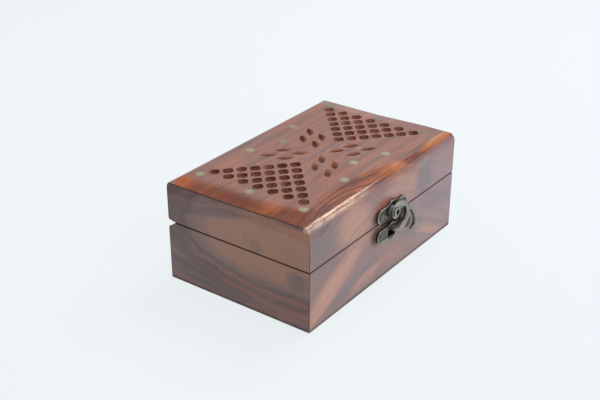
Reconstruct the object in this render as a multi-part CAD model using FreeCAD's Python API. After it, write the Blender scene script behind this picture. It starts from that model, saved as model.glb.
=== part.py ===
import FreeCAD, Part

import math
import os

# Inlaid wooden keepsake box with a hinged lid and a swing-hook latch, in millimetres, +Z up.
# The origin is the middle of the underside. The latch side faces -Y, and +X runs to its right.

# Box
box_length = 152.0
box_width = 99.0
box_height = 63.5
base_height = 37.65
seam_gap = 0.1
wall = 10.0
bottom_thickness = 2.0
lid_panel_thickness = 7.5
lid_edge_radius = 4.5
arris = 0.45

# Ends of the top, planed down from the flat, less towards the front: places along Y, and how deep at each
end_slope_run = 9.2
end_slope_drops = [(50.5, 1.4), (5.0, 1.4), (-28.0, 0.25), (-50.5, 0.25)]

# Bevels along the back of the seam, which make room for the opening lid
bevel_depth = 5.0
base_bevel_height = 3.5
lid_bevel_height = 1.3

# Carved lattice: two triangles of diamond pits, apex towards the middle of the pattern
pattern_shift_x = 4.75
pattern_shift_y = 3.1
lattice_columns = 7
lattice_apex = 22.0
lattice_step_x = 5.83
lattice_step_y = 5.24
lattice_bar = 1.6
pit_depth = 3.0
pit_taper = 0.8
pit_roundness = 1.5
pit_cuts = 12

# Carved leaves: a quarter of the spray, as places from the middle of the pattern
leaf_length = 11.4
leaf_width = 5.2
leaf_depth = 1.9
leaf_deepest = 0.45
leaf_places = [(7.25, 7.35), (17.9, 10.15), (9.35, 18.0), (20.3, 20.7)]

# Brass dots: a quarter of the layout, as places from the middle of the pattern
dot_diameter = 6.2
dot_thickness = 1.5
dot_places = [(63.65, 36.3), (21.5, 33.7), (64.3, 0.0), (0.0, 25.85)]

# Butt hinges
hinge_spacing = 84.0
hinge_length = 22.0
hinge_leaf_width = 7.4
hinge_leaf_thickness = 0.7
hinge_barrel_diameter = 3.0
hinge_middle_knuckle = 9.0
hinge_knuckle_gap = 0.15
hinge_axis_inset = 1.8
hinge_axis_drop = 1.0
hinge_pin_diameter = 1.4
hinge_pin_clearance = 0.03
hinge_barrel_clearance = 0.25
hinge_mortise_clearance = 0.1

# Hinge screws
hinge_screw_spread = 14.0
hinge_screw_inset = 4.9
hinge_screw_head = 2.8
hinge_screw_shank = 1.5
hinge_screw_length = 7.0

# Latch plates
latch_shift_x = 3.5
pivot_rise = 3.8
plate_thickness = 1.2
plate_rim = 1.0
plate_recess = 0.35
plate_edge_margin = 0.15
lobe_spread = 21.6
lid_lobe_rise = 0.4
lid_lobe_radius = 4.7
lid_crown_rise = 0.5
lid_crown_radius = 6.2
keeper_lobe_drop = 12.6
keeper_lobe_radius = 4.1
keeper_crown_drop = 13.3
keeper_crown_radius = 5.8

# Keeper tongue, cut on three sides and bent out of the plate, and the window and pocket below it
tongue_width = 5.0
tongue_drop = 10.2
tongue_reach = 3.8
window_width = 7.0
window_height = 5.0
pocket_depth = 2.5

# Latch screws
latch_screw_head = 3.4
latch_screw_head_height = 0.7
latch_screw_shank = 1.7
latch_screw_length = 7.0
screw_slot_width = 0.5
screw_slot_depth = 0.3
head_bevel_share = 0.5

# Pivot: a hollow rivet through a raised boss
boss_diameter = 7.0
boss_height = 0.9
rivet_diameter = 4.2
rivet_bore = 3.3
rivet_bore_depth = 4.2
rivet_head_diameter = 6.0
rivet_head_height = 0.7
rivet_clearance = 0.05
hook_end_float = 0.1

# Swing hook, with places measured from the pivot
hook_thickness = 1.8
eye_radius = 4.2
throat_place = (6.0, -4.5)
throat_radius = 5.4
jaw_width = 2.6
jaw_clearance = 0.35
jaw_release = 0.5
jaw_nose_lean = 0.5
jaw_heel_lean = 9.0
arm_bulge = (6.6, 4.5)

# Rest of the hook's outline, from the jaw's heel round the tail to the arm: a point on each arc, and its end
hook_arcs = [
    ((9.4, -13.8), (11.7, -12.5)),
    ((14.3, -9.4), (15.1, -5.3)),
    ((15.7, -4.6), (16.3, -5.1)),
    ((19.6, -9.3), (21.6, -14.0)),
    ((21.3, -16.9), (18.8, -18.3)),
    ((18.2, -19.1), (19.0, -19.9)),
    ((23.6, -21.6), (26.9, -18.6)),
    ((20.6, -7.7), (12.2, 0.8)),
]

# Sizes that follow from these
half_length = box_length / 2
half_width = box_width / 2
lid_bottom = base_height + seam_gap
lid_rail_top = box_height - lid_panel_thickness
front_y = -half_width
hinge_axis_y = half_width - hinge_axis_inset
hinge_axis_z = base_height - hinge_axis_drop
barrel_radius = hinge_barrel_diameter / 2
pivot_z = lid_bottom + pivot_rise
hook_back = plate_thickness + boss_height + hook_end_float
hook_front = hook_back + hook_thickness

# How far a cutter runs past a face, and how near counts as the same place
overcut = 1.0
tolerance = 1e-4


def block(x0, x1, y0, y1, z0, z1):
    """Box between two corners."""
    return Part.makeBox(x1 - x0, y1 - y0, z1 - z0, FreeCAD.Vector(x0, y0, z0))


def polygon_face(corners):
    return Part.Face(Part.makePolygon(corners + corners[:1]))


def upright_prism(points, z0, z1):
    """Prism with a polygon in plan."""
    face = polygon_face([FreeCAD.Vector(x, y, z0) for x, y in points])
    return face.extrude(FreeCAD.Vector(0, 0, z1 - z0))


def prism_along_x(points, x0, x1):
    """Prism with a polygon of (y, z) points as its section."""
    face = polygon_face([FreeCAD.Vector(x0, y, z) for y, z in points])
    return face.extrude(FreeCAD.Vector(x1 - x0, 0, 0))


def rod_along_x(radius, x0, x1):
    """Round bar on the hinge axis."""
    start = FreeCAD.Vector(x0, hinge_axis_y, hinge_axis_z)
    return Part.makeCylinder(radius, x1 - x0, start, FreeCAD.Vector(1, 0, 0))


def stud(u, v, radius, out0, out1):
    """Round bar square to the latch side, at (u, v) from the pivot, between two distances from the wood."""
    start = FreeCAD.Vector(latch_shift_x + u, front_y - out0, pivot_z + v)
    return Part.makeCylinder(radius, out1 - out0, start, FreeCAD.Vector(0, -1, 0))


def slab(u0, u1, v0, v1, out0, out1):
    """Box on the latch side, measured like stud."""
    x0, x1 = latch_shift_x + u0, latch_shift_x + u1
    z0, z1 = pivot_z + v0, pivot_z + v1
    return block(x0, x1, front_y - out1, front_y - out0, z0, z1)


def latch_point(u, v, out):
    """Point on the latch side, measured like stud."""
    return FreeCAD.Vector(latch_shift_x + u, front_y - out, pivot_z + v)


def edges_where(shape, test):
    """Edges of a shape whose two ends both pass a test."""
    return [edge for edge in shape.Edges if all(test(vertex.Point) for vertex in edge.Vertexes)]


def near(value, target):
    return abs(value - target) < tolerance


# Mitred boards

def board_plan(side):
    """Plan of one mitred board: its outer edge, then its inner edge."""
    inner_length = half_length - wall
    inner_width = half_width - wall
    plans = {
        "front": [(-half_length, -half_width), (half_length, -half_width),
                  (inner_length, -inner_width), (-inner_length, -inner_width)],
        "right": [(half_length, -half_width), (half_length, half_width),
                  (inner_length, inner_width), (inner_length, -inner_width)],
        "back": [(half_length, half_width), (-half_length, half_width),
                 (-inner_length, inner_width), (inner_length, inner_width)],
        "left": [(-half_length, half_width), (-half_length, -half_width),
                 (-inner_length, -inner_width), (-inner_length, inner_width)],
    }
    return plans[side]


def on_outside(point):
    return near(abs(point.x), half_length) or near(abs(point.y), half_width)


def board(side, z0, z1, seam_z):
    """Mitred board with its outer arris broken at the seam."""
    solid = upright_prism(board_plan(side), z0, z1)
    seam_edges = edges_where(solid, lambda point: near(point.z, seam_z) and on_outside(point))
    return solid.makeChamfer(arris, seam_edges)


def back_bevel(seam_z, height, away):
    """Cutter for the bevel along the back of the seam. away is the free side of the seam: 1 up, -1 down."""
    inner = half_width - bevel_depth
    outer = half_width + overcut
    free_z = seam_z + away * overcut
    bevel_z = seam_z - away * height
    section = [(inner, free_z), (inner, seam_z), (half_width, bevel_z), (outer, bevel_z), (outer, free_z)]
    return prism_along_x(section, -half_length - overcut, half_length + overcut)


# Hinges

def hinge_centres():
    return [("left", -hinge_spacing / 2), ("right", hinge_spacing / 2)]


def hinge_screw_places(centre):
    y = hinge_axis_y - hinge_screw_inset
    return [(centre - hinge_screw_spread / 2, y), (centre + hinge_screw_spread / 2, y)]


def all_hinge_screw_places():
    return [place for name, centre in hinge_centres() for place in hinge_screw_places(centre)]


def countersunk_screw(x, y, z, inward):
    """Slotted countersunk screw with its head flush at z, driven up or down."""
    head_radius = hinge_screw_head / 2
    shank_radius = hinge_screw_shank / 2
    cone_height = min(head_radius - shank_radius, hinge_leaf_thickness)
    direction = FreeCAD.Vector(0, 0, inward)
    top = FreeCAD.Vector(x, y, z)
    head = Part.makeCone(head_radius, shank_radius, cone_height, top, direction)
    shank = Part.makeCylinder(shank_radius, hinge_screw_length, top, direction)
    return head.fuse(shank).removeSplitter()


def hinge_screw_slot(x, y, z, inward):
    """Cutter for the slot in a hinge screw's head."""
    reach = hinge_screw_head
    z0, z1 = sorted((z - inward * overcut, z + inward * screw_slot_depth))
    return block(x - reach, x + reach, y - screw_slot_width / 2, y + screw_slot_width / 2, z0, z1)


def hinge_screw_holes(z, inward):
    """Cutters for the screw holes under one row of leaves."""
    return [countersunk_screw(x, y, z, inward) for x, y in all_hinge_screw_places()]


def hinge_screws(z, inward):
    """Screws of one row of leaves."""
    screws = []
    for x, y in all_hinge_screw_places():
        screw = countersunk_screw(x, y, z, inward)
        screws.append(screw.cut(hinge_screw_slot(x, y, z, inward)))
    return Part.makeCompound(screws)


def outer_knuckle_spans(centre):
    inner = hinge_middle_knuckle / 2 + hinge_knuckle_gap
    outer = hinge_length / 2
    return [(centre - outer, centre - inner), (centre + inner, centre + outer)]


def middle_knuckle_span(centre):
    return [(centre - hinge_middle_knuckle / 2, centre + hinge_middle_knuckle / 2)]


def hinge_leaf(centre, z0, own_spans, other_spans, bore_radius, screw_z, inward):
    """Flat leaf with its own knuckles, notched round the knuckles of the other leaf."""
    half = hinge_length / 2
    inner_y = hinge_axis_y - hinge_leaf_width
    leaf = block(centre - half, centre + half, inner_y, hinge_axis_y, z0, z0 + hinge_leaf_thickness)
    notch_radius = barrel_radius + hinge_barrel_clearance
    for x0, x1 in other_spans:
        leaf = leaf.cut(rod_along_x(notch_radius, x0 - hinge_knuckle_gap, x1 + hinge_knuckle_gap))
    for x0, x1 in own_spans:
        leaf = leaf.fuse(rod_along_x(barrel_radius, x0, x1))
    leaf = leaf.cut(rod_along_x(bore_radius, centre - half - overcut, centre + half + overcut))
    for x, y in hinge_screw_places(centre):
        leaf = leaf.cut(countersunk_screw(x, y, screw_z, inward))
    return leaf.removeSplitter()


def hinge_gains(z0, z1):
    """Cutters for the leaf mortises and the round gains behind the barrels."""
    half = hinge_length / 2 + hinge_mortise_clearance
    inner_y = hinge_axis_y - hinge_leaf_width - hinge_mortise_clearance
    cutters = []
    for name, centre in hinge_centres():
        cutters.append(block(centre - half, centre + half, inner_y, half_width + overcut, z0, z1))
        cutters.append(rod_along_x(barrel_radius + hinge_barrel_clearance, centre - half, centre + half))
    return cutters


# Latch

def latch_screw_places(lobe_v):
    return [(-lobe_spread / 2, lobe_v), (lobe_spread / 2, lobe_v)]


def latch_screw_hole(u, v):
    return stud(u, v, latch_screw_shank / 2, -latch_screw_length, plate_thickness + overcut)


def latch_screws(lobe_v):
    """Round-headed slotted screws of one plate."""
    seat = plate_thickness - plate_recess
    top = seat + latch_screw_head_height
    screws = []
    for u, v in latch_screw_places(lobe_v):
        head = stud(u, v, latch_screw_head / 2, seat, top)
        rim = [edge for edge in head.Edges if near(edge.CenterOfMass.y, front_y - top)]
        head = head.makeChamfer(latch_screw_head_height * head_bevel_share, rim)
        shank = stud(u, v, latch_screw_shank / 2, -latch_screw_length, seat + latch_screw_head_height / 2)
        reach = latch_screw_head
        half = screw_slot_width / 2
        slot = slab(u - reach, u + reach, v - half, v + half, top - screw_slot_depth, top + overcut)
        screws.append(head.fuse(shank).cut(slot).removeSplitter())
    return Part.makeCompound(screws)


def rounded_blank(lobe_v, lobe_radius, crown_v, crown_radius, out0, out1):
    """Outline of a latch plate: a bar with round ends and a round crown in the middle."""
    half = lobe_spread / 2
    blank = slab(-half, half, lobe_v - lobe_radius, lobe_v + lobe_radius, out0, out1)
    for u, v in latch_screw_places(lobe_v):
        blank = blank.fuse(stud(u, v, lobe_radius, out0, out1))
    return blank.fuse(stud(0, crown_v, crown_radius, out0, out1)).removeSplitter()


def latch_plate(lobe_v, lobe_radius, crown_v, crown_radius):
    """Stamped plate with a raised rim and holes for its screws."""
    plate = rounded_blank(lobe_v, lobe_radius, crown_v, crown_radius, 0.0, plate_thickness)
    floor = plate_thickness - plate_recess
    recess = rounded_blank(lobe_v, lobe_radius - plate_rim, crown_v, crown_radius - plate_rim,
                           floor, plate_thickness + overcut)
    plate = plate.cut(recess)
    for u, v in latch_screw_places(lobe_v):
        plate = plate.cut(latch_screw_hole(u, v))
    return plate


def make_latch_lid_plate():
    """Plate on the lid, cut straight along the seam, with the boss that carries the hook."""
    boss_front = plate_thickness + boss_height
    plate = latch_plate(lid_lobe_rise, lid_lobe_radius, lid_crown_rise, lid_crown_radius)
    plate = plate.fuse(stud(0, 0, boss_diameter / 2, 0, boss_front))
    below = -pivot_rise + plate_edge_margin
    reach = lobe_spread + lid_lobe_radius
    plate = plate.cut(slab(-reach, reach, below - reach, below, -overcut, boss_front + overcut))
    return plate.cut(stud(0, 0, rivet_diameter / 2, -overcut, hook_back)).removeSplitter()


def keeper_window(out0, out1):
    """Cutter for the window below the tongue, between two distances from the wood."""
    top = -tongue_drop - plate_thickness
    return slab(-window_width / 2, window_width / 2, top - window_height, top, out0, out1)


def make_latch_keeper_plate():
    """Plate on the base, with the tongue bent out square above the window that it was cut from."""
    plate = latch_plate(-keeper_lobe_drop, keeper_lobe_radius, -keeper_crown_drop, keeper_crown_radius)
    half = tongue_width / 2
    tongue_bottom = -tongue_drop - plate_thickness
    tongue = slab(-half, half, tongue_bottom, -tongue_drop, 0, plate_thickness + tongue_reach)
    tip_y = front_y - plate_thickness - tongue_reach
    tip_corners = [edge for edge in tongue.Edges
                   if all(near(vertex.Y, tip_y) for vertex in edge.Vertexes)
                   and near(abs(edge.CenterOfMass.x - latch_shift_x), half)]
    tongue = tongue.makeFillet(plate_thickness, tip_corners)
    window = keeper_window(-overcut, plate_thickness + overcut)
    return plate.fuse(tongue).cut(window).removeSplitter()


def make_latch_rivet():
    """Hollow rivet: its shank holds in the plate, and its flange keeps the hook on."""
    flange_back = hook_front + hook_end_float
    flange_front = flange_back + rivet_head_height
    flange = stud(0, 0, rivet_head_diameter / 2, flange_back, flange_front)
    rim = [edge for edge in flange.Edges if near(edge.CenterOfMass.y, front_y - flange_front)]
    flange = flange.makeChamfer(rivet_head_height * head_bevel_share, rim)
    shank = stud(0, 0, rivet_diameter / 2, 0, flange_back + rivet_head_height / 2)
    bore = stud(0, 0, rivet_bore / 2, flange_front - rivet_bore_depth, flange_front + overcut)
    return flange.fuse(shank).cut(bore).removeSplitter()


def around_pivot(radius, degrees_from_down):
    """Place on a circle about the pivot, counted from straight down towards the tail."""
    angle = math.radians(degrees_from_down)
    return (radius * math.sin(angle), -radius * math.cos(angle))


def circle_meets_throat(radius):
    """Angles from straight down at which a circle about the pivot crosses the throat circle."""
    reach = math.hypot(*throat_place)
    middle = math.degrees(math.atan2(throat_place[0], -throat_place[1]))
    cosine = (radius ** 2 + reach ** 2 - throat_radius ** 2) / (2 * radius * reach)
    half_angle = math.degrees(math.acos(cosine))
    return middle - half_angle, middle + half_angle


def hook_outline():
    """Arcs round the hook, each as start, middle and end, from the top of the eye back to it."""
    jaw_inner = math.hypot(tongue_width / 2, tongue_drop + plate_thickness) + jaw_clearance
    jaw_outer = jaw_inner + jaw_width
    tip_angle = math.degrees(math.asin((tongue_width / 2 + jaw_release) / jaw_inner))
    throat_low = circle_meets_throat(jaw_inner)[0]
    throat_high = circle_meets_throat(eye_radius)[1]
    eye_top = (0.0, eye_radius)
    eye_meets_throat = around_pivot(eye_radius, throat_high)
    eye_far = around_pivot(eye_radius, (throat_high - 180.0) / 2)
    throat_side = (throat_place[0] + throat_radius, throat_place[1])
    jaw_root = around_pivot(jaw_inner, throat_low)
    jaw_middle = around_pivot(jaw_inner, (throat_low + tip_angle) / 2)
    jaw_tip = around_pivot(jaw_inner, tip_angle)
    jaw_nose = around_pivot(jaw_inner + jaw_width / 2, tip_angle + jaw_nose_lean)
    jaw_heel = around_pivot(jaw_outer, tip_angle + jaw_heel_lean)
    arcs = [
        (eye_top, eye_far, eye_meets_throat),
        (eye_meets_throat, throat_side, jaw_root),
        (jaw_root, jaw_middle, jaw_tip),
        (jaw_tip, jaw_nose, jaw_heel),
    ]
    start = jaw_heel
    for middle, end in hook_arcs + [(arm_bulge, eye_top)]:
        arcs.append((start, middle, end))
        start = end
    return arcs


def make_latch_hook():
    """Flat hook: eye, arm, jaw that catches the tongue, and finger tail."""
    edges = []
    for arc in hook_outline():
        start, middle, end = [latch_point(u, v, hook_back) for u, v in arc]
        edges.append(Part.Arc(start, middle, end).toShape())
    hook = Part.Face(Part.Wire(edges)).extrude(FreeCAD.Vector(0, -hook_thickness, 0))
    return hook.cut(stud(0, 0, rivet_diameter / 2 + rivet_clearance, 0, hook_front + overcut))


# Carved top

def pattern_point(x, y, z):
    return FreeCAD.Vector(pattern_shift_x + x, pattern_shift_y + y, z)


def quarters(places):
    """Every mirror image of places given for one quarter of the pattern."""
    mirrored = []
    for x, y in places:
        for sign_x in ([1, -1] if x else [1]):
            for sign_y in ([1, -1] if y else [1]):
                mirrored.append((sign_x * x, sign_y * y))
    return mirrored


def closed_solid(faces):
    """Solid inside faces that meet edge to edge."""
    shell = Part.makeShell(faces)
    shell.sewShape()
    solid = Part.Solid(shell)
    if solid.Volume < 0:
        solid.reverse()
    return solid


def pit_places():
    places = []
    for side in (-1, 1):
        for column in range(lattice_columns):
            x = side * (lattice_apex + column * lattice_step_x)
            for row in range(column + 1):
                places.append((x, (2 * row - column) * lattice_step_y))
    return places


def rounded_diamond():
    """Corners of a diamond with sides on |x| + |y| = 1, rounded off as the cuts of a chisel leave it."""
    corners = []
    for cut in range(pit_cuts):
        angle = 2 * math.pi * cut / pit_cuts
        corners.append([math.copysign(abs(part) ** (2 / pit_roundness), part)
                        for part in (math.cos(angle), math.sin(angle))])
    side = max(abs(x) + abs(y) for x, y in corners)
    return [(x / side, y / side) for x, y in corners]


def pit_ring(bar, z):
    """Corners of a pit at one height, where it leaves bars of a given width."""
    diagonal = math.hypot(lattice_step_x, lattice_step_y)
    pitch = 2 * lattice_step_x * lattice_step_y / diagonal
    reach_x = lattice_step_x * (pitch - bar) / pitch
    reach_y = lattice_step_y * (pitch - bar) / pitch
    return [FreeCAD.Vector(reach_x * x, reach_y * y, z) for x, y in rounded_diamond()]


def make_pit():
    """Tapered pit at the middle of the pattern, wider at the top."""
    floor = pit_ring(lattice_bar + 2 * pit_taper, -pit_depth)
    mouth = pit_ring(lattice_bar - 2 * pit_taper * overcut / pit_depth, overcut)
    faces = [polygon_face(floor), polygon_face(mouth)]
    for cut in range(pit_cuts):
        faces.append(polygon_face([floor[cut - 1], floor[cut], mouth[cut], mouth[cut - 1]]))
    return closed_solid(faces)


def pit_cutter(pit, x, y):
    """Copy of the pit at a place in the pattern."""
    copy = pit.copy()
    copy.translate(pattern_point(x, y, box_height))
    return copy


def leaf_cutter(x, y):
    """Leaf gouge with two sides that meet in a valley, deepest near the tip away from the middle."""
    inner_tip = FreeCAD.Vector(-leaf_length / 2, 0, 0)
    outer_tip = FreeCAD.Vector(leaf_length / 2, 0, 0)
    pull = FreeCAD.Vector(leaf_deepest * leaf_length, 0, -2 * leaf_depth)
    curve = Part.BezierCurve()
    curve.setPoles([inner_tip, pull, outer_tip])
    valley = curve.toShape()
    rims = []
    for y_widest in (-leaf_width / 2, leaf_width / 2):
        rims.append(Part.Arc(inner_tip, FreeCAD.Vector(0, y_widest, 0), outer_tip).toShape())
    sides = [Part.makeRuledSurface(rim, valley) for rim in rims]
    cover = Part.Face(Part.Wire(rims))
    gouge = closed_solid(sides + [cover])
    turn = math.degrees(math.atan2(math.copysign(1, y), math.copysign(1, x)))
    gouge.rotate(FreeCAD.Vector(0, 0, 0), FreeCAD.Vector(0, 0, 1), turn)
    gouge.translate(pattern_point(x, y, box_height))
    return gouge


def dot(x, y, top):
    """Disc let into the top, from the bottom of its seat up to a given height."""
    seat = pattern_point(x, y, box_height - dot_thickness)
    return Part.makeCylinder(dot_diameter / 2, top - seat.z, seat)


def end_slopes():
    """Cutters that plane down the two ends of the top."""
    cutters = []
    for side in (-1, 1):
        inner_x = side * (half_length - end_slope_run)
        outer_x = side * (half_length + overcut)
        over_z = box_height + overcut
        sections = []
        for y, drop in end_slope_drops:
            outer_z = box_height - drop * (end_slope_run + overcut) / end_slope_run
            corners = [(inner_x, box_height), (outer_x, outer_z), (outer_x, over_z), (inner_x, over_z)]
            points = [FreeCAD.Vector(x, y, z) for x, z in corners]
            sections.append(Part.makePolygon(points + points[:1]))
        cutters.append(Part.makeLoft(sections, True, True))
    return cutters


def make_lid_top_panel():
    """Carved board that covers the lid, rounded along its front and back and planed down at its ends."""
    panel = block(-half_length, half_length, -half_width, half_width, lid_rail_top, box_height)
    long_edges = [edge for edge in edges_where(panel, lambda point: near(point.z, box_height))
                  if near(abs(edge.CenterOfMass.y), half_width)]
    panel = panel.makeFillet(min(lid_edge_radius, lid_panel_thickness - arris), long_edges)
    pit = make_pit()
    pits = [pit_cutter(pit, x, y) for x, y in pit_places()]
    leaves = [leaf_cutter(x, y) for x, y in quarters(leaf_places)]
    seats = [dot(x, y, box_height + overcut) for x, y in quarters(dot_places)]
    return panel.cut(end_slopes()).cut(pits + leaves + seats)


# Nodes

def make_base():
    """Walls, bottom, hinge halves and keeper."""
    screws = hinge_screw_holes(base_height, -1)
    bevel = back_bevel(base_height, base_bevel_height, 1)
    gains = hinge_gains(base_height - hinge_leaf_thickness, base_height + overcut)
    keeper_holes = [latch_screw_hole(u, v) for u, v in latch_screw_places(-keeper_lobe_drop)]
    nodes = {}
    for side in ("front", "back", "left", "right"):
        solid = board(side, bottom_thickness, base_height, base_height)
        nodes["base_" + side + "_wall"] = solid.cut([bevel])
    pocket = keeper_window(-pocket_depth, overcut)
    nodes["base_front_wall"] = nodes["base_front_wall"].cut(keeper_holes + [pocket])
    nodes["base_back_wall"] = nodes["base_back_wall"].cut(gains).cut(screws)
    bottom = block(-half_length, half_length, -half_width, half_width, 0, bottom_thickness)
    nodes["bottom_panel"] = bottom.makeChamfer(arris, edges_where(bottom, lambda point: near(point.z, 0)))
    for name, centre in hinge_centres():
        leaf_z = base_height - hinge_leaf_thickness
        nodes["hinge_" + name + "_base_leaf"] = hinge_leaf(
            centre, leaf_z, outer_knuckle_spans(centre), middle_knuckle_span(centre),
            hinge_pin_diameter / 2, base_height, -1)
        half = hinge_length / 2
        nodes["hinge_" + name + "_pin"] = rod_along_x(hinge_pin_diameter / 2, centre - half, centre + half)
    nodes["hinge_base_screws"] = hinge_screws(base_height, -1)
    nodes["latch_keeper_plate"] = make_latch_keeper_plate()
    nodes["latch_keeper_screws"] = latch_screws(-keeper_lobe_drop)
    return nodes


def make_lid():
    """Rails, carved top with its dots, hinge halves, and the latch plate with its rivet."""
    screws = hinge_screw_holes(lid_bottom, 1)
    bevel = back_bevel(lid_bottom, lid_bevel_height, -1)
    gains = hinge_gains(lid_bottom - overcut, lid_bottom + hinge_leaf_thickness)
    plate_holes = [latch_screw_hole(u, v) for u, v in latch_screw_places(lid_lobe_rise)]
    nodes = {}
    for side in ("front", "back", "left", "right"):
        solid = board(side, lid_bottom, lid_rail_top, lid_bottom)
        nodes["lid_" + side + "_rail"] = solid.cut([bevel])
    nodes["lid_front_rail"] = nodes["lid_front_rail"].cut(plate_holes)
    nodes["lid_back_rail"] = nodes["lid_back_rail"].cut(gains).cut(screws)
    nodes["lid_top_panel"] = make_lid_top_panel()
    dots = [dot(x, y, box_height).cut(end_slopes()) for x, y in quarters(dot_places)]
    nodes["brass_inlay_dots"] = Part.makeCompound(dots)
    for name, centre in hinge_centres():
        nodes["hinge_" + name + "_lid_leaf"] = hinge_leaf(
            centre, lid_bottom, middle_knuckle_span(centre), outer_knuckle_spans(centre),
            hinge_pin_diameter / 2 + hinge_pin_clearance, lid_bottom, 1)
    nodes["hinge_lid_screws"] = hinge_screws(lid_bottom, 1)
    nodes["latch_lid_plate"] = make_latch_lid_plate()
    nodes["latch_lid_screws"] = latch_screws(lid_lobe_rise)
    nodes["latch_rivet"] = make_latch_rivet()
    nodes["latch_hook"] = make_latch_hook()
    return nodes


os.makedirs("parts", exist_ok=True)
for node, shape in {**make_base(), **make_lid()}.items():
    shape.exportStep("parts/" + node + ".step")
    state = "valid" if shape.isValid() else "INVALID"
    print(node, len(shape.Solids), "solids", round(shape.Volume, 2), "mm3", state)
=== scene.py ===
import bpy
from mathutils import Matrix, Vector


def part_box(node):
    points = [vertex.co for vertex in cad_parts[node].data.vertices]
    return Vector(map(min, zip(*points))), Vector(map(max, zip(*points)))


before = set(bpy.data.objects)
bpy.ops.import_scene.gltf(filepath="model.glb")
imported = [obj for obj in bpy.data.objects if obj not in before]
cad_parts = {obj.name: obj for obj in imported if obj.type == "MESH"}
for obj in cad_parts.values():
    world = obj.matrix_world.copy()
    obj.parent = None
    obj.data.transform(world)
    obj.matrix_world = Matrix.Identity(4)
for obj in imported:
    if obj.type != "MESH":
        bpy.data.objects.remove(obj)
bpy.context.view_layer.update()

# Looks of an inlaid wooden box: lacquered rosewood, brass dots and an antique bronze latch.
# Lengths in the materials are millimetres in the frame of the box.

MM = 1000.0

# Camera of the photograph, in metres, with its lens and sensor in millimetres
CAMERA_PLACE = Vector((-0.45914, -0.32447, 0.32522))
CAMERA_FORWARD = Vector((0.71596, 0.52549, -0.45964))
CAMERA_LENS = 63.47
CAMERA_SENSOR = 36.0
CAMERA_NEAREST = 0.01

# Light, in metres and watts. The sky's stops are its brightness by the sine of the elevation.
BACKGROUND = (242, 247, 250)
SKY = [(0.0, 0.6), (0.36, 0.68), (0.43, 0.9), (0.5, 0.95), (0.6, 0.25), (0.72, 0.3), (0.82, 1.0)]
KEY_PLACE = Vector((0.592, -0.083, 0.887))
KEY_SIZE = 0.61
KEY_POWER = 8.0
FILL_PLACE = Vector((0.05, -1.0, 0.55))
FILL_SIZE = 1.8
FILL_POWER = 5.6
FLOOR_SIZE = 6.0
FLOOR_DROP = 0.0001
FLOOR_GLOW = 0.9
FLOOR_BRIGHTNESS = 0.95

# Places on the box, in millimetres
half_length, half_width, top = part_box("lid_top_panel")[1] * MM
front_face = -half_width
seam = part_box("base_front_wall")[1].z * MM

# Middle of the carved pattern, planed ends of the top, and middle of the keeper's window
PATTERN_X = 4.75
PATTERN_Y = 3.1
SLOPE_RUN = 9.2
SLOPE_DROPS = (0.25, 1.4)
SLOPE_FADE = (-28.0, 5.0)
WINDOW_X = 3.5
WINDOW_Z = 27.65


def colour(red, green, blue):
    """Linear colour with alpha from the 0 to 255 values that a screen shows."""
    shares = [value / 255 for value in (red, green, blue)]
    linear = [s / 12.92 if s <= 0.04045 else ((s + 0.055) / 1.055) ** 2.4 for s in shares]
    return (*linear, 1.0)


def set_stops(node, stops):
    """Gives a colour ramp its stops, each as a position from 0 to 1 and a colour."""
    elements = node.color_ramp.elements
    while len(elements) < len(stops):
        elements.new(1.0)
    for element, (position, shade) in zip(elements, stops):
        element.position = position
        element.color = shade


# Edge and middle of a soft patch, as shares of its size
PATCH_EDGE = (1.0, 0.35)


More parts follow.
